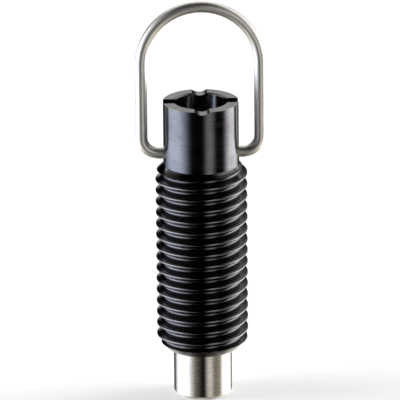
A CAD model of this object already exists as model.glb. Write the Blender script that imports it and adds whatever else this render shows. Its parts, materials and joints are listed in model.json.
import json
import math

import bmesh
import bpy
import numpy as np
from mathutils import Matrix, Vector


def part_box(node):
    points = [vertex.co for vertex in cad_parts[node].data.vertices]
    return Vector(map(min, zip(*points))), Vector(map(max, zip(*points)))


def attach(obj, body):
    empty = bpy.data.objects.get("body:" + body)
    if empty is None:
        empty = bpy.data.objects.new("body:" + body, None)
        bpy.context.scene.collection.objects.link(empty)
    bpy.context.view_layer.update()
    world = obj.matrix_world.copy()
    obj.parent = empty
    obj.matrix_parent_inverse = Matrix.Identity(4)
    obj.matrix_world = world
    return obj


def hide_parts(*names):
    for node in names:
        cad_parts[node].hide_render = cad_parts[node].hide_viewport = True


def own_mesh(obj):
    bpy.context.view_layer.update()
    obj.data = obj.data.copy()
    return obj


# Indexing plunger: the finished surfaces, their materials and the studio around them.
# Lengths are in metres, and shape sizes are written as millimetres times MM.

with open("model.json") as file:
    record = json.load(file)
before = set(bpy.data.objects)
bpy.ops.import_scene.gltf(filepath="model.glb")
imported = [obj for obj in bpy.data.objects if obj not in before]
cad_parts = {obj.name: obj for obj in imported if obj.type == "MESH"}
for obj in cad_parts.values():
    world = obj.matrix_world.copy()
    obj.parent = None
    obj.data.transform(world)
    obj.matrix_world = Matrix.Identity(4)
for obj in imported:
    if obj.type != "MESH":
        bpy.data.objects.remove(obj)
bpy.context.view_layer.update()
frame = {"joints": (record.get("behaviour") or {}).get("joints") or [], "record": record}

MM = 0.001
TURN = 2 * math.pi

# ---- sizes read from the frame ----
mounts = {mount["name"]: mount for mount in frame["record"]["mounts"]}
joints = {joint["name"]: joint for joint in frame["joints"]}
sleeve_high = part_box("sleeve")[1]
plunger_low, plunger_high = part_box("plunger")
spring_low, spring_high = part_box("spring")
ring_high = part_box("pull_ring")[1]

crest_r = mounts["sleeve_thread"]["dims"]["r_mm"] * MM
thread_length = mounts["sleeve_thread"]["dims"]["length_mm"] * MM
pin_r = mounts["index_pin"]["dims"]["r_mm"] * MM
top_z = sleeve_high.z
head_r = plunger_high.x
wire_axis_z = joints["ring_hinge"]["pos_m"][2]
ring_wire_r = ring_high.y
ring_leg_x = ring_high.x - ring_wire_r

# ---- sizes of the sleeve ----
thread_pitch = 2.0 * MM
thread_depth = 1.1 * MM
thread_root_flat = 0.39 * MM
flank_slope = math.tan(math.radians(60))  # the radius gained per length along the axis
thread_root_r = crest_r - thread_depth
root_edge = thread_root_flat / 2  # how far the root's edge lies from the groove's middle
crest_edge = root_edge + thread_depth / flank_slope
crest_edge_blend = 0.13 * MM
root_corner_blend = 0.14 * MM
groove_lead_in = 1.6 * MM
end_face_r = 6.15 * MM
collar_r = 6.5 * MM
collar_edge_round = 0.12 * MM
collar_bore_r = 4.4 * MM
collar_bore_round = 0.4 * MM
web_thickness = 3.0 * MM
stem_hole_r = 3.08 * MM
guide_r = 5.35 * MM
guide_mouth_chamfer = 0.3 * MM
slot_half_width = 1.15 * MM
slot_floor_clearance = 0.05 * MM
slot_floor_z = wire_axis_z - ring_wire_r - slot_floor_clearance
notch_r = 2.0 * MM
notch_depth = 0.5 * MM

# ---- sizes of the plunger ----
nose_chamfer = 0.5 * MM
shoulder_z = 0.1 * MM
head_top_z = spring_low.z
stem_r = 3.0 * MM
stem_chamfer = 0.4 * MM
small_edge_round = 0.06 * MM
cross_hole_r = 1.05 * MM

# ---- sizes of the spring and the ring ----
spring_wire_r = 0.5 * MM
spring_coils = 7
ring_bend_r = 2.8 * MM
ring_end_gap = 1.2 * MM
ring_end_round = 0.15 * MM

# ---- fineness of the surfaces ----
columns_round = 144
columns_pin = 128
columns_wire = 32
columns_spring = 16
columns_hole = 64
columns_channel = 48
rows_corner = 5
rows_flank_coarse = 2
rows_flank_fine = 12
rows_spring_turn = 48
rows_ring_end = 6
rows_ring_foot = 12
rows_ring_bend = 25
rows_ring_leg = 18
rows_ring_bow = 61
weld_distance = 0.0002 * MM
sharp_angle = math.radians(38)


# ---- surfaces ----
def grid_mesh(name, points, lengths=None):
    """A mesh from a grid of points, rows by columns by xyz, with a quad between each four.

    When the two arrays of lengths are given, a UV map holds, in metres, how far along the rows and
    how far round the columns each corner lies.
    """
    rows, columns = points.shape[:2]
    index = np.arange(rows * columns).reshape(rows, columns)
    quads = np.stack(
        (index[:-1, :-1], index[:-1, 1:], index[1:, 1:], index[1:, :-1]), axis=-1
    ).reshape(-1, 4)
    mesh = bpy.data.meshes.new(name)
    mesh.vertices.add(rows * columns)
    mesh.vertices.foreach_set("co", points.astype(np.float32).ravel())
    mesh.loops.add(quads.size)
    mesh.loops.foreach_set("vertex_index", quads.astype(np.int32).ravel())
    mesh.polygons.add(len(quads))
    mesh.polygons.foreach_set("loop_start", np.arange(0, quads.size, 4, dtype=np.int32))
    mesh.update(calc_edges=True)
    if lengths is not None:
        along, around = lengths
        corner = quads.ravel()
        uv = np.stack((along[corner // columns], around[corner % columns]), axis=-1)
        layer = mesh.uv_layers.new(name="surface")
        layer.data.foreach_set("uv", uv.astype(np.float32).ravel())
    piece = bpy.data.objects.new(name, mesh)
    bpy.context.scene.collection.objects.link(piece)
    return piece


def weld(piece):
    """Closes the seams and poles of a grid: points that coincide become one, and empty faces go."""
    work = bmesh.new()
    work.from_mesh(piece.data)
    bmesh.ops.remove_doubles(work, verts=work.verts, dist=weld_distance)
    bmesh.ops.dissolve_degenerate(work, edges=work.edges, dist=weld_distance)
    work.to_mesh(piece.data)
    work.free()
    piece.data.update()
    return piece


def smooth(piece):
    """Smooth shading that stops at sharp edges."""
    piece.data.shade_smooth()
    piece.data.set_sharp_from_angle(angle=sharp_angle)
    return piece


def apply_modifiers(piece):
    """Replaces the piece's mesh by what its modifiers make of it."""
    evaluated = piece.evaluated_get(bpy.context.evaluated_depsgraph_get())
    finished = bpy.data.meshes.new_from_object(evaluated)
    piece.modifiers.clear()
    piece.data = finished
    return piece


def cut(piece, *cutters):
    """Takes closed solids away from the piece, then deletes them."""
    for cutter in cutters:
        boolean = piece.modifiers.new("cut", "BOOLEAN")
        boolean.operation = "DIFFERENCE"
        boolean.solver = "EXACT"
        boolean.object = cutter
    apply_modifiers(piece)
    for cutter in cutters:
        bpy.data.objects.remove(cutter)
    return weld(piece)


def round_grid(radius, height, columns):
    """A profile of radii and heights turned about Z: x = r cos a, y = r sin a, z as given."""
    angle = np.linspace(0, TURN, columns + 1)
    radius = np.broadcast_to(np.reshape(radius, (len(radius), -1)), (len(radius), columns + 1))
    height = np.broadcast_to(np.reshape(height, (len(height), -1)), (len(height), columns + 1))
    return np.stack((radius * np.cos(angle), radius * np.sin(angle), height), axis=-1)


def rounded_outline(corners):
    """A polyline whose corners are quarter-like arcs, as a quadratic curve through each corner.

    Each corner is (r, z, size). The curve leaves the line at that size before the corner and comes
    back to it at that size after: p = (1 - t)^2 before + 2 t (1 - t) corner + t^2 after. One more
    point lies on the line before the curve and one after it, so that the shading stays flat there.
    """
    place = np.array([corner[:2] for corner in corners])
    outline = [place[:1]]
    t = np.linspace(0, 1, rows_corner)[:, None]
    sizes = [corner[2] for corner in corners[1:]]
    for before, here, after, size in zip(place, place[1:], place[2:], sizes):
        start = here + (before - here) * (size / np.linalg.norm(before - here))
        end = here + (after - here) * (size / np.linalg.norm(after - here))
        lead_in, lead_out = start + (start - here) / 2, end + (end - here) / 2
        curve = (1 - t) ** 2 * start + 2 * t * (1 - t) * here + t**2 * end
        outline.extend((lead_in[None], curve, lead_out[None]))
    outline.append(place[-1:])
    return np.concatenate(outline)


def prism(name, outline, half_length, along):
    """A closed prism: an outline across the axis X or Y, carried along it, with its ends capped."""
    centre = outline.mean(axis=0, keepdims=True).repeat(len(outline), axis=0)
    across = np.stack((centre, outline, outline, centre))
    shift = np.array([-1, -1, 1, 1])[:, None] * half_length * np.ones(len(outline))
    first, second = across[..., 0], across[..., 1]
    axes = (shift, first, second) if along == "X" else (first, -shift, second)
    piece = weld(grid_mesh(name, np.stack(axes, axis=-1)))
    work = bmesh.new()
    work.from_mesh(piece.data)
    bmesh.ops.recalc_face_normals(work, faces=work.faces)
    work.to_mesh(piece.data)
    work.free()
    return piece


def tube(name, path, side, radius, columns):
    """A round wire along a path.

    Each ring of points is path + radius (cos a side + sin a up), where up is the path's direction
    crossed with the side vector. The radius may change along the path, and is zero at both ends.
    """
    step = np.gradient(path, axis=0)
    step[0], step[-1] = step[1], step[-2]
    direction = step / np.linalg.norm(step, axis=1, keepdims=True)
    up = np.cross(direction, side)
    angle = np.linspace(0, TURN, columns + 1)
    ring = np.cos(angle)[:, None] * side[:, None] + np.sin(angle)[:, None] * up[:, None]
    points = path[:, None] + radius[:, None, None] * ring
    along = np.concatenate(([0], np.cumsum(np.linalg.norm(np.diff(path, axis=0), axis=1))))
    return weld(grid_mesh(name, points, lengths=(along, angle * radius.max())))


# ---- sleeve ----
def rounded_ramp(x, blend):
    """The larger of zero and x, with a parabola from -blend to blend for the corner at zero."""
    corner = (x + blend) ** 2 / (4 * blend)
    return np.where(x < -blend, 0, np.where(x > blend, x, corner))


def groove_radius(offset):
    """The thread's radius at a distance along the axis from the middle of its groove.

    It is the root's radius, plus the flank's slope from the edge of the root flat, less the same
    slope from the edge of the crest, so that it levels out at the crest.
    """
    rise = rounded_ramp(abs(offset) - root_edge, root_corner_blend)
    rise = rise - rounded_ramp(abs(offset) - crest_edge, crest_edge_blend)
    return thread_root_r + flank_slope * rise


def groove_offsets(flank_rows):
    """Row places across one pitch: close together at the four corners, and even on the flanks."""
    corner = np.linspace(-1, 1, rows_corner)
    flank_low, flank_high = root_edge + root_corner_blend, crest_edge - crest_edge_blend
    half = np.concatenate((
        root_edge + corner * root_corner_blend,
        np.linspace(flank_low, flank_high, flank_rows + 2)[1:-1],
        crest_edge + corner * crest_edge_blend,
        [thread_pitch / 2],
    ))
    return np.concatenate((-half[-2::-1], [0], half))


def thread_grid(columns):
    """The outside of the threaded length.

    The rows climb with the helix: z = row height + pitch times angle over a turn, held between the
    two ends. The radius is the smaller of the groove's and the blank's, which has a 45 degree
    chamfer at each end. The two turns at each end have fine rows, where the groove runs out through
    the chamfer. In the turn next to the coarse ones, the fine rows run together into coarse rows,
    so that each turn ends on the points that the next one starts from.
    """
    turns = math.ceil((thread_length + groove_lead_in + thread_pitch / 2) / thread_pitch)
    coarse, fine = groove_offsets(rows_flank_coarse), groove_offsets(rows_flank_fine)
    joined = coarse[abs(fine[:, None] - coarse).argmin(axis=1)]
    middle = [coarse] * (turns - 4)
    first = [fine, fine, *middle, joined, fine]
    last = [fine, joined, *middle, fine, fine]
    centre = np.concatenate([np.full(len(places), turn) for turn, places in enumerate(first)])
    first, last = np.concatenate(first)[:, None], np.concatenate(last)[:, None]
    share = np.linspace(0, 1, columns + 1)
    offset = first * (1 - share) + last * share
    z = (centre[:, None] + share) * thread_pitch - groove_lead_in + offset
    z = np.clip(z, 0, thread_length)
    blank = np.interp(
        z,
        [0, crest_r - end_face_r, thread_length - crest_r + collar_r, thread_length],
        [end_face_r, crest_r, crest_r, collar_r],
    )
    return round_grid(np.minimum(blank, groove_radius(offset)), z, columns)


def channel(radius, floor_z, above_z):
    """The outline of a channel cut from above: a half round floor and straight sides."""
    arc = np.linspace(math.pi, TURN, columns_channel + 1)
    floor = np.stack((radius * np.cos(arc), floor_z + radius + radius * np.sin(arc)), axis=-1)
    return np.concatenate((floor, [(radius, above_z), (-radius, above_z)], floor[:1]))


def make_sleeve():
    """The sleeve as one closed skin of thread, collar and stepped bore, with its slots cut.

    The thread's grid goes on into the turned outline's rows, which lead over the collar, down the
    bore and back to the thread's first row. Channels are then cut through along X and Y.
    """
    web_low_z = spring_high.z
    web_high_z = web_low_z + web_thickness
    body = rounded_outline([
        (collar_r, thread_length, 0),
        (collar_r, top_z, collar_edge_round),
        (collar_bore_r, top_z, collar_bore_round),
        (collar_bore_r, web_high_z, small_edge_round),
        (stem_hole_r, web_high_z, small_edge_round),
        (stem_hole_r, web_low_z, small_edge_round),
        (guide_r, web_low_z, small_edge_round),
        (guide_r, guide_mouth_chamfer, small_edge_round),
        (guide_r + guide_mouth_chamfer, 0, small_edge_round),
        (end_face_r, 0, 0),
    ])
    skin = np.concatenate((
        thread_grid(columns_round),
        round_grid(body[1:, 0], body[1:, 1], columns_round),
    ))
    sleeve = weld(grid_mesh("threaded_sleeve", skin))

    above_z = top_z + thread_pitch
    slot = channel(slot_half_width, slot_floor_z, above_z)
    notch = channel(notch_r, top_z - notch_depth, above_z)
    cut(
        sleeve,
        prism("slot_cutter", slot, crest_r, "X"),
        prism("notch_cutter", notch, crest_r, "Y"),
    )
    return smooth(sleeve)


# ---- plunger ----
def make_plunger():
    """The pin, its guided head and its stem turned in one, with the cross hole for the ring."""
    outline = rounded_outline([
        (0, plunger_low.z, 0),
        (pin_r - nose_chamfer, plunger_low.z, small_edge_round),
        (pin_r, plunger_low.z + nose_chamfer, small_edge_round),
        (pin_r, shoulder_z, small_edge_round),
        (head_r, shoulder_z, small_edge_round),
        (head_r, head_top_z, small_edge_round),
        (stem_r, head_top_z, small_edge_round),
        (stem_r, plunger_high.z - stem_chamfer, small_edge_round),
        (stem_r - stem_chamfer, plunger_high.z, small_edge_round),
        (0, plunger_high.z, 0),
    ])
    plunger = weld(grid_mesh("locking_pin", round_grid(outline[:, 0], outline[:, 1], columns_pin)))
    circle = np.linspace(0, TURN, columns_hole + 1)
    across, up = cross_hole_r * np.cos(circle), cross_hole_r * np.sin(circle)
    hole = np.stack((across, wire_axis_z + up), axis=-1)
    cut(plunger, prism("hole_cutter", hole, head_r, "X"))
    return smooth(plunger)


# ---- spring ----
def make_spring():
    """A compression spring with closed ends, ground flat.

    The coil climbs one wire thickness in its first and last turn and evenly in between. Its tube is
    then cut off level at both ends by holding z between them.
    """
    coil_r = spring_high.x - spring_wire_r
    turn = np.linspace(0, spring_coils, spring_coils * rows_spring_turn + 1)
    closed = 2 * spring_wire_r
    low_z = spring_low.z + spring_wire_r / 2
    high_z = spring_high.z - spring_wire_r / 2
    height = np.interp(
        turn,
        [0, 1, spring_coils - 1, spring_coils],
        [low_z, low_z + closed, high_z - closed, high_z],
    )
    angle = TURN * turn
    path = np.stack((coil_r * np.cos(angle), coil_r * np.sin(angle), height), axis=-1)
    side = np.stack((np.cos(angle), np.sin(angle), np.zeros_like(angle)), axis=-1)
    radius = np.full(len(turn), spring_wire_r)
    path, side, radius = (np.concatenate((a[:1], a, a[-1:])) for a in (path, side, radius))
    radius[0] = radius[-1] = 0
    spring = tube("pressure_spring", path, side, radius, columns_spring)
    place = np.empty(len(spring.data.vertices) * 3, np.float32)
    spring.data.vertices.foreach_get("co", place)
    place[2::3] = np.clip(place[2::3], spring_low.z, spring_high.z)
    spring.data.vertices.foreach_set("co", place)
    return smooth(spring)


# ---- pull ring ----
def make_ring():
    """The bent wire: two feet, two small bends, two straight legs and a half round bow.

    Its centre line is lines and arcs for the right half, from the end inside the plunger up to the
    middle of the bow, and mirrored for the left. Each end closes with a rounded edge.
    """
    foot_x = ring_leg_x - ring_bend_r
    bow_z = ring_high.z - ring_wire_r - ring_leg_x
    edge = np.linspace(0, math.pi / 2, rows_ring_end)
    end_x = ring_end_gap / 2 + ring_end_round * (1 - np.sin(edge))
    end_radius = ring_wire_r - ring_end_round * (1 - np.cos(edge))
    bend = np.linspace(-math.pi / 2, 0, rows_ring_bend)
    bow = np.linspace(0, math.pi / 2, rows_ring_bow)
    x = np.concatenate((
        [end_x[-1]],
        end_x[::-1],
        np.linspace(end_x[0], foot_x, rows_ring_foot + 2)[1:-1],
        foot_x + ring_bend_r * np.cos(bend),
        np.full(rows_ring_leg, ring_leg_x),
        ring_leg_x * np.cos(bow),
    ))
    z = np.concatenate((
        np.full(1 + rows_ring_end + rows_ring_foot, wire_axis_z),
        wire_axis_z + ring_bend_r + ring_bend_r * np.sin(bend),
        np.linspace(wire_axis_z + ring_bend_r, bow_z, rows_ring_leg + 2)[1:-1],
        bow_z + ring_leg_x * np.sin(bow),
    ))
    radius = np.full(len(x), ring_wire_r)
    radius[0] = 0
    radius[1:1 + rows_ring_end] = end_radius[::-1]
    half = np.stack((x, np.zeros_like(x), z), axis=-1)
    path = np.concatenate((half, (half * [-1, 1, 1])[-2::-1]))
    radius = np.concatenate((radius, radius[-2::-1]))
    side = np.broadcast_to(np.array([0.0, 1.0, 0.0]), path.shape)
    return smooth(tube("pull_wire", path, side, radius, columns_wire))


# ---- finishes ----
# Marks and grain are in waves per metre. A pair of colours or roughnesses holds the values at the
# low and the high end of a range of the pattern, and a fade is a pair of distances from an edge.
oxide_marks = {"Rings": 8000.0, "Clouds": 260.0}
grinding_marks = {"Rings": 16000.0, "Clouds": 300.0}
fine_grain = {"Rings": 9000.0, "Clouds": 5200.0}
wire_marks = {"Across": 14000.0, "Along": 500.0}
ring_noise = {"detail": 3.0, "roughness": 0.65}
cloud_noise = {"detail": 4.0, "roughness": 0.6}
line_noise = {"detail": 3.0, "roughness": 0.6}
cloud_share = 0.12  # how much coarser the clouds on a wire are than its lines
noise_range = (0.3, 0.7)  # where nearly all of a noise pattern's values lie

oxide_streak_share = 0.8  # the rings' part in the oxide's tone, beside the clouds
oxide_streak_range = (0.62, 1.12)
oxide_ring_range = (0.3, 0.75)
worn_rim_range = (0.30, 0.62)
oxide_colours = ((0.106, 0.099, 0.109), (0.162, 0.159, 0.164))
oxide_flank_colour = (0.050, 0.047, 0.049)
oxide_crest_colour = (0.21, 0.206, 0.21)
worn_rim_colour = (0.40, 0.40, 0.39)
oxide_roughness = (0.13, 0.22)
oxide_top_roughness = 0.12  # added on the collar's top face
oxide_bump = 0.0012 * MM
flank_fade = (0.03 * MM, 0.10 * MM)
crest_fade = (-0.09 * MM, -0.01 * MM)
rim_side_fade = (-0.16 * MM, -0.08 * MM)
rim_top_fade = (-0.15 * MM, -0.07 * MM)
top_face_fade = (-0.06 * MM, -0.02 * MM)

ground_colours = ((0.75, 0.70, 0.625), (0.82, 0.77, 0.70))
ground_speckle_range = (0.34, 0.66)
ground_speckle = (0.74, 1.16)
ground_grain_share = 3.0  # the grain's part in the bump, beside the rings
ground_roughness = (0.25, 0.31)
ground_stretch = 0.95
ground_bump = 0.0006 * MM

spring_colours = ((0.42, 0.41, 0.40), (0.52, 0.51, 0.50))
spring_roughness = (0.25, 0.38)
ring_colours = ((0.86, 0.835, 0.775), (0.96, 0.935, 0.875))
ring_roughness = (0.34, 0.44)
wire_bump = 0.003 * MM


# ---- node helpers ----
def link(tree, source, target):
    """Joins a node's output to another node's input."""
    tree.links.new(source, target)


def math_node(tree, operation, *values):
    """A Math node whose inputs are numbers or other nodes' outputs."""
    node = tree.nodes.new("ShaderNodeMath")
    node.operation = operation
    for socket, value in zip(node.inputs, values):
        if isinstance(value, (int, float)):
            socket.default_value = value
        else:
            link(tree, value, socket)
    return node.outputs[0]


def vector_node(tree, operation, *values):
    """A Vector Math node whose inputs are triples or other nodes' outputs."""
    node = tree.nodes.new("ShaderNodeVectorMath")
    node.operation = operation
    sockets = [socket for socket in node.inputs if socket.enabled]
    for socket, value in zip(sockets, values):
        if isinstance(value, tuple):
            socket.default_value = value
        else:
            link(tree, value, socket)
    return node.outputs[0]


def ramp_between(tree, value, low, high, low_value=0.0, high_value=1.0):
    """A smooth step from one value to another as the input goes from low to high."""
    node = tree.nodes.new("ShaderNodeMapRange")
    node.interpolation_type = "SMOOTHSTEP"
    for socket, number in zip(list(node.inputs)[1:5], (low, high, low_value, high_value)):
        socket.default_value = number
    link(tree, value, node.inputs[0])
    return node.outputs[0]


def mix_colour(tree, factor, first, second):
    """A blend of two colours, each a triple or an output: (1 - factor) first + factor second."""
    node = tree.nodes.new("ShaderNodeMix")
    node.data_type = "RGBA"
    link(tree, factor, node.inputs[0])
    for socket, value in zip(node.inputs[6:8], (first, second)):
        if isinstance(value, tuple):
            socket.default_value = (*value, 1)
        else:
            link(tree, value, socket)
    return node.outputs[2]


def noise(tree, vector, detail, roughness):
    """Noise with one wave per unit of the vector, and as many finer octaves as its detail."""
    node = tree.nodes.new("ShaderNodeTexNoise")
    node.inputs["Scale"].default_value = 1.0
    node.inputs["Detail"].default_value = detail
    node.inputs["Roughness"].default_value = roughness
    link(tree, vector, node.inputs["Vector"])
    return node.outputs["Fac"]


def new_group(name, floats, results):
    """An empty shader node group: a Vector input, and float inputs and outputs of these names."""
    tree = bpy.data.node_groups.new(name, "ShaderNodeTree")
    tree.interface.new_socket("Vector", in_out="INPUT", socket_type="NodeSocketVector")
    for label in floats:
        tree.interface.new_socket(label, in_out="INPUT", socket_type="NodeSocketFloat")
    for label in results:
        tree.interface.new_socket(label, in_out="OUTPUT", socket_type="NodeSocketFloat")
    return tree, tree.nodes.new("NodeGroupInput").outputs, tree.nodes.new("NodeGroupOutput").inputs


def use_group(tree, group, **values):
    """The outputs of a node group placed in a tree, with its inputs given by name."""
    node = tree.nodes.new("ShaderNodeGroup")
    node.node_tree = group
    for label, value in values.items():
        socket = node.inputs[label]
        if isinstance(value, (int, float)):
            socket.default_value = value
        else:
            link(tree, value, socket)
    return node.outputs


def turning_marks():
    """Fine rings left by the lathe, so they run round every turned face.

    Marks is the rings' pattern: noise on (radius + height) times Rings, x and y times Clouds. Cloud
    is a slower unevenness: noise on the place times Clouds.
    """
    tree, given, result = new_group(
        "turning_marks",
        floats=("Rings", "Clouds"),
        results=("Marks", "Cloud", "Radius", "Height"),
    )
    split = tree.nodes.new("ShaderNodeSeparateXYZ")
    link(tree, given["Vector"], split.inputs[0])
    x, y, z = split.outputs
    squares = math_node(tree, "MULTIPLY", x, x), math_node(tree, "MULTIPLY", y, y)
    radius = math_node(tree, "POWER", math_node(tree, "ADD", *squares), 0.5)
    place = tree.nodes.new("ShaderNodeCombineXYZ")
    along = math_node(tree, "ADD", radius, z)
    link(tree, math_node(tree, "MULTIPLY", along, given["Rings"]), place.inputs[0])
    link(tree, math_node(tree, "MULTIPLY", x, given["Clouds"]), place.inputs[1])
    link(tree, math_node(tree, "MULTIPLY", y, given["Clouds"]), place.inputs[2])
    link(tree, noise(tree, place.outputs[0], **ring_noise), result["Marks"])
    cloud = vector_node(tree, "SCALE", given["Vector"], given["Clouds"])
    link(tree, noise(tree, cloud, **cloud_noise), result["Cloud"])
    link(tree, radius, result["Radius"])
    link(tree, z, result["Height"])
    return tree


def drawing_marks():
    """Fine lines along a drawn wire: noise stretched along the wire, on the wire's own UV map.

    Marks is noise on the length along times Along and the length round times Across. Cloud is the
    same with both made coarser.
    """
    tree, given, result = new_group(
        "drawing_marks",
        floats=("Across", "Along"),
        results=("Marks", "Cloud"),
    )
    split = tree.nodes.new("ShaderNodeSeparateXYZ")
    link(tree, given["Vector"], split.inputs[0])
    for label, share, waves in (("Marks", 1.0, line_noise), ("Cloud", cloud_share, cloud_noise)):
        place = tree.nodes.new("ShaderNodeCombineXYZ")
        along = math_node(tree, "MULTIPLY", given["Along"], share)
        across = math_node(tree, "MULTIPLY", given["Across"], share)
        link(tree, math_node(tree, "MULTIPLY", split.outputs[0], along), place.inputs[0])
        link(tree, math_node(tree, "MULTIPLY", split.outputs[1], across), place.inputs[1])
        link(tree, noise(tree, place.outputs[0], **waves), result[label])
    return tree


def new_material(name, coordinates):
    """A material with a Principled shader: gives its tree, the shader and the coordinate output."""
    material = bpy.data.materials.new(name)
    material.use_nodes = True
    tree = material.node_tree
    shader = tree.nodes["Principled BSDF"]
    source = tree.nodes.new("ShaderNodeTexCoord").outputs[coordinates]
    return material, tree, shader, source


def add_bump(tree, shader, height, distance):
    """Tilts the shader's normal by a height pattern whose step from 0 to 1 is this distance."""
    bump = tree.nodes.new("ShaderNodeBump")
    bump.inputs["Distance"].default_value = distance
    link(tree, height, bump.inputs["Height"])
    link(tree, bump.outputs[0], shader.inputs["Normal"])


def past_edge(tree, length, edge, fade):
    """A smooth step from nothing to one, as a length goes over the two distances from an edge."""
    return ramp_between(tree, length, edge + fade[0], edge + fade[1])


# ---- materials ----
def blackened_steel(marks_group):
    """Glossy black oxide on turned steel, polished on the crests and worn on the collar's rim.

    The oxide and its oil lie thickest on the thread's flanks, which are darker than the rest. A
    fine grain shows on the collar's top face. Each is a mask on the radius, the height or both.
    """
    material, tree, shader, source = new_material("blackened_steel", "Object")
    marks = use_group(tree, marks_group, Vector=source, **oxide_marks)
    grain = use_group(tree, marks_group, Vector=source, **fine_grain)
    rings = math_node(tree, "MULTIPLY", marks["Marks"], oxide_streak_share)
    streak = math_node(tree, "ADD", rings, marks["Cloud"])
    tone = ramp_between(tree, streak, *oxide_streak_range)
    colour = mix_colour(tree, tone, *oxide_colours)
    off_root = past_edge(tree, marks["Radius"], thread_root_r, flank_fade)
    colour = mix_colour(tree, off_root, colour, oxide_flank_colour)
    polish = past_edge(tree, marks["Radius"], crest_r, crest_fade)
    colour = mix_colour(tree, polish, colour, oxide_crest_colour)
    rim_side = past_edge(tree, marks["Radius"], collar_r, rim_side_fade)
    rim_top = past_edge(tree, marks["Height"], top_z, rim_top_fade)
    rim = math_node(tree, "MULTIPLY", rim_side, rim_top)
    patches = ramp_between(tree, grain["Cloud"], *worn_rim_range)
    worn = math_node(tree, "MULTIPLY", rim, patches)
    colour = mix_colour(tree, worn, colour, worn_rim_colour)
    link(tree, colour, shader.inputs["Base Color"])
    shader.inputs["Metallic"].default_value = 1.0
    rough = ramp_between(tree, marks["Marks"], *oxide_ring_range, *oxide_roughness)
    on_top = past_edge(tree, marks["Height"], top_z, top_face_fade)
    rough = math_node(tree, "ADD", rough, math_node(tree, "MULTIPLY", on_top, oxide_top_roughness))
    link(tree, rough, shader.inputs["Roughness"])
    top_grain = math_node(tree, "MULTIPLY", grain["Cloud"], on_top)
    add_bump(tree, shader, math_node(tree, "ADD", marks["Marks"], top_grain), oxide_bump)
    return material


def ground_steel(marks_group):
    """Hardened pin steel, ground bright round its axis, with a speckled grain and a warm tone.

    The grinding stretches what the steel mirrors along the axis, across its fine rings. The colour
    is a slow blend of two tones, times the speckle.
    """
    material, tree, shader, source = new_material("ground_steel", "Object")
    marks = use_group(tree, marks_group, Vector=source, **grinding_marks)
    grain = use_group(tree, marks_group, Vector=source, **fine_grain)
    tone = ramp_between(tree, marks["Cloud"], *noise_range)
    colour = mix_colour(tree, tone, *ground_colours)
    speckle = ramp_between(tree, grain["Cloud"], *ground_speckle_range, *ground_speckle)
    link(tree, vector_node(tree, "SCALE", colour, speckle), shader.inputs["Base Color"])
    shader.inputs["Metallic"].default_value = 1.0
    shader.inputs["Anisotropic"].default_value = ground_stretch
    shader.inputs["Anisotropic Rotation"].default_value = 0.25  # a quarter turn
    rings = tree.nodes.new("ShaderNodeTangent")
    rings.direction_type = "RADIAL"
    rings.axis = "Z"
    link(tree, rings.outputs[0], shader.inputs["Tangent"])
    rough = ramp_between(tree, marks["Marks"], *noise_range, *ground_roughness)
    link(tree, rough, shader.inputs["Roughness"])
    coarse_grain = math_node(tree, "MULTIPLY", grain["Cloud"], ground_grain_share)
    add_bump(tree, shader, math_node(tree, "ADD", marks["Marks"], coarse_grain), ground_bump)
    return material


def drawn_steel(name, marks_group, colours, roughness):
    """Drawn wire, satin: faint lines along the wire and a slow blend of two tones."""
    material, tree, shader, source = new_material(name, "UV")
    marks = use_group(tree, marks_group, Vector=source, **wire_marks)
    tone = ramp_between(tree, marks["Cloud"], *noise_range)
    link(tree, mix_colour(tree, tone, *colours), shader.inputs["Base Color"])
    shader.inputs["Metallic"].default_value = 1.0
    rough = ramp_between(tree, marks["Marks"], *noise_range, *roughness)
    link(tree, rough, shader.inputs["Roughness"])
    add_bump(tree, shader, marks["Marks"], wire_bump)
    return material


# ---- studio ----
# Softboxes and pale walls stand round the part, with dark gaps between. They light it and are what
# its metal mirrors, and the camera sees white in their place. Angles are in degrees. A box's turn
# goes round from the front towards +X, and its heights are above the horizon. It is full out to one
# distance from its turn and gone at the other, and it fades over box_edge to each side of a height.
box_edge = 4
tones = {"plain": (1.0, 1.0, 1.0), "cool": (0.9, 1.0, 1.2), "warm": (1.08, 1.0, 0.88)}
softboxes = {
    "left_box": dict(turn=-90, full=10, gone=60, low=-32, high=0, level=2.7, tone="cool"),
    "right_box": dict(turn=108, full=10, gone=42, low=-32, high=0, level=3.5, tone="plain"),
    "front_strip": dict(turn=24, full=2, gone=22, low=-32, high=30, level=0.8, tone="plain"),
    "left_wall": dict(turn=-85, full=10, gone=55, low=0, high=30, level=1.3, tone="plain"),
    "right_wall": dict(turn=105, full=20, gone=60, low=0, high=30, level=1.2, tone="plain"),
    "high_wall": dict(turn=160, full=40, gone=120, low=30, high=60, level=1.2, tone="plain"),
    "table": dict(turn=180, full=130, gone=180, low=-50, high=-32, level=1.2, tone="warm"),
    "near_table": dict(turn=180, full=30, gone=150, low=-95, high=-50, level=0.5, tone="plain"),
}

# Behind the part, to either side, the metal mirrors the white backdrop: not at all at the first of
# these turns, and fully from the second on.
backdrop_edges = (164, 172)

floor_reach = 4.0
floor_grey = 0.8
floor_lift = 0.28  # a glow that only the camera sees, so that the floor stays pale
lamp_height = 0.55
lamp_distance = 0.9
lamp_size = 0.6
lamp_power = 7.0


def degrees_of(tree, direction):
    """A direction's turn, the arctangent of x over -y, and its height, the arcsine of z."""
    split = tree.nodes.new("ShaderNodeSeparateXYZ")
    link(tree, direction, split.inputs[0])
    x, y, z = split.outputs
    turn = math_node(tree, "ARCTAN2", x, math_node(tree, "MULTIPLY", y, -1.0))
    height = math_node(tree, "ARCSINE", z)
    return math_node(tree, "DEGREES", turn), math_node(tree, "DEGREES", height)


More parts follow.
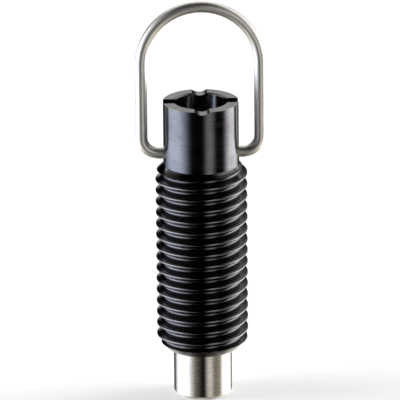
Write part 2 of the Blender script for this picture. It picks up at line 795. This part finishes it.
def softbox_light(tree, turn, height, box):
    """A softbox's light in a direction: full near its own turn and between its two heights.

    Its mask is a smooth step down on the turn's distance from the box's middle, times a smooth step
    up at its lower height and one down at its upper height.
    """
    away = math_node(tree, "SUBTRACT", turn, box["turn"])
    away = math_node(tree, "ABSOLUTE", math_node(tree, "WRAP", away, 180.0, -180.0))
    across = ramp_between(tree, away, box["full"], box["gone"], 1.0, 0.0)
    low, high = box["low"], box["high"]
    above = ramp_between(tree, height, low - box_edge, low + box_edge)
    below = ramp_between(tree, height, high - box_edge, high + box_edge, 1.0, 0.0)
    mask = math_node(tree, "MULTIPLY", across, math_node(tree, "MULTIPLY", above, below))
    colour = tuple(box["level"] * share for share in tones[box["tone"]])
    return vector_node(tree, "SCALE", colour, mask)


def make_floor():
    """A wide pale square under the pin's tip, which lets glossy and shadow rays through."""
    sides = ((-1, -1), (1, -1), (1, 1), (-1, 1))
    corners = [(floor_reach * x, floor_reach * y, plunger_low.z) for x, y in sides]
    mesh = bpy.data.meshes.new("floor")
    mesh.from_pydata(corners, [], [(0, 1, 2, 3)])
    floor = bpy.data.objects.new("floor", mesh)
    bpy.context.scene.collection.objects.link(floor)
    material = bpy.data.materials.new("pale_floor")
    material.use_nodes = True
    tree = material.node_tree
    tree.nodes.clear()
    diffuse = tree.nodes.new("ShaderNodeBsdfDiffuse")
    diffuse.inputs[0].default_value = (floor_grey, floor_grey, floor_grey, 1)
    lift = tree.nodes.new("ShaderNodeEmission")
    lift.inputs[1].default_value = floor_lift
    seen = tree.nodes.new("ShaderNodeAddShader")
    link(tree, diffuse.outputs[0], seen.inputs[0])
    link(tree, lift.outputs[0], seen.inputs[1])
    ray = tree.nodes.new("ShaderNodeLightPath")
    lit = tree.nodes.new("ShaderNodeMixShader")
    link(tree, ray.outputs["Is Camera Ray"], lit.inputs[0])
    link(tree, diffuse.outputs[0], lit.inputs[1])
    link(tree, seen.outputs[0], lit.inputs[2])
    mirrored = tree.nodes.new("ShaderNodeMixShader")
    passing = math_node(tree, "MAXIMUM", ray.outputs["Is Glossy Ray"], ray.outputs["Is Shadow Ray"])
    link(tree, passing, mirrored.inputs[0])
    link(tree, lit.outputs[0], mirrored.inputs[1])
    link(tree, tree.nodes.new("ShaderNodeBsdfTransparent").outputs[0], mirrored.inputs[2])
    output = tree.nodes.new("ShaderNodeOutputMaterial")
    link(tree, mirrored.outputs[0], output.inputs[0])
    mesh.materials.append(material)


def make_world():
    """White to the camera, and the sum of the softboxes to all other rays.

    Behind the part, glossy and transmission rays see the white too: the share of white is the
    larger of the camera's mask and the product of those rays' mask and the backdrop's.
    """
    world = bpy.data.worlds.new("studio")
    bpy.context.scene.world = world
    world.use_nodes = True
    tree = world.node_tree
    tree.nodes.clear()
    turn, height = degrees_of(tree, tree.nodes.new("ShaderNodeTexCoord").outputs["Generated"])
    light = (0.0, 0.0, 0.0)
    for box in softboxes.values():
        light = vector_node(tree, "ADD", light, softbox_light(tree, turn, height, box))
    studio = tree.nodes.new("ShaderNodeBackground")
    link(tree, light, studio.inputs[0])
    white = tree.nodes.new("ShaderNodeBackground")
    white.inputs[0].default_value = (1, 1, 1, 1)
    ray = tree.nodes.new("ShaderNodeLightPath")
    behind = ramp_between(tree, math_node(tree, "ABSOLUTE", turn), *backdrop_edges)
    mirrored = math_node(
        tree, "MAXIMUM", ray.outputs["Is Glossy Ray"], ray.outputs["Is Transmission Ray"]
    )
    shown = math_node(
        tree, "MAXIMUM", ray.outputs["Is Camera Ray"], math_node(tree, "MULTIPLY", mirrored, behind)
    )
    seen = tree.nodes.new("ShaderNodeMixShader")
    link(tree, shown, seen.inputs[0])
    link(tree, studio.outputs[0], seen.inputs[1])
    link(tree, white.outputs[0], seen.inputs[2])
    output = tree.nodes.new("ShaderNodeOutputWorld")
    link(tree, seen.outputs[0], output.inputs[0])


def make_lamp(name, turn):
    """A square lamp that looks at the part's middle from a turn round from the front.

    It stands at its distance times (sin turn, -cos turn), raised by its height, and the metal
    doesn't mirror it.
    """
    turn = math.radians(turn)
    middle = Vector((0, 0, (plunger_low.z + ring_high.z) / 2))
    away = Vector((lamp_distance * math.sin(turn), -lamp_distance * math.cos(turn), lamp_height))
    place = middle + away
    lamp = bpy.data.lights.new(name, "AREA")
    lamp.shape = "SQUARE"
    lamp.size = lamp_size
    lamp.energy = lamp_power
    holder = bpy.data.objects.new(name, lamp)
    holder.location = place
    holder.rotation_euler = (middle - place).to_track_quat("-Z", "Y").to_euler()
    holder.visible_glossy = False
    bpy.context.scene.collection.objects.link(holder)


# ---- camera ----
camera_turn = math.radians(-2.4)
camera_height = math.radians(19.34)
camera_roll = math.radians(-0.5)
camera_distance = 1.0
picture_side = 68.4 * MM
target_height = 25.0 * MM
picture_shift = (-0.27 * MM, 1.33 * MM)
camera_reach = 20.0


def make_camera():
    """Looks at a point on the part's axis from near the front, a little above and far off.

    It stands at the point plus its distance times the direction away from it, moved in its own
    picture by the shift, and its lens takes in the picture's side at that distance.
    """
    away = Vector((
        math.sin(camera_turn) * math.cos(camera_height),
        -math.cos(camera_turn) * math.cos(camera_height),
        math.sin(camera_height),
    ))
    right = Vector((math.cos(camera_turn), math.sin(camera_turn), 0))
    up = away.cross(right)
    turned = Matrix((right, up, away)).transposed() @ Matrix.Rotation(camera_roll, 3, "Z")
    camera = bpy.data.cameras.new("camera")
    camera.sensor_fit = "HORIZONTAL"
    camera.lens = camera.sensor_width * camera_distance / picture_side
    camera.clip_end = camera_reach
    holder = bpy.data.objects.new("camera", camera)
    place = Vector((0, 0, target_height)) + away * camera_distance
    place = place + turned @ Vector((*picture_shift, 0))
    holder.matrix_world = Matrix.Translation(place) @ turned.to_4x4()
    bpy.context.scene.collection.objects.link(holder)
    bpy.context.scene.camera = holder


# ---- build ----
lathe = turning_marks()
drawn = drawing_marks()
finishes = {
    "blackened_steel": blackened_steel(lathe),
    "ground_steel": ground_steel(lathe),
    "spring_steel": drawn_steel("spring_steel", drawn, spring_colours, spring_roughness),
    "ring_wire": drawn_steel("ring_wire", drawn, ring_colours, ring_roughness),
}

pieces = (
    (make_sleeve(), "sleeve", "sleeve", "blackened_steel"),
    (make_plunger(), "plunger", "plunger", "ground_steel"),
    (make_spring(), "spring", "sleeve", "spring_steel"),
    (make_ring(), "pull_ring", "ring", "ring_wire"),
)
for piece, node, body, finish in pieces:
    piece.data.materials.append(finishes[finish])
    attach(piece, body)
    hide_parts(node)
spring = pieces[2][0]
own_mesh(spring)

make_floor()
make_world()
make_lamp("left_softbox", turn=-93)
make_lamp("right_softbox", turn=108)
make_camera()
bpy.context.scene.view_settings.view_transform = "Standard"
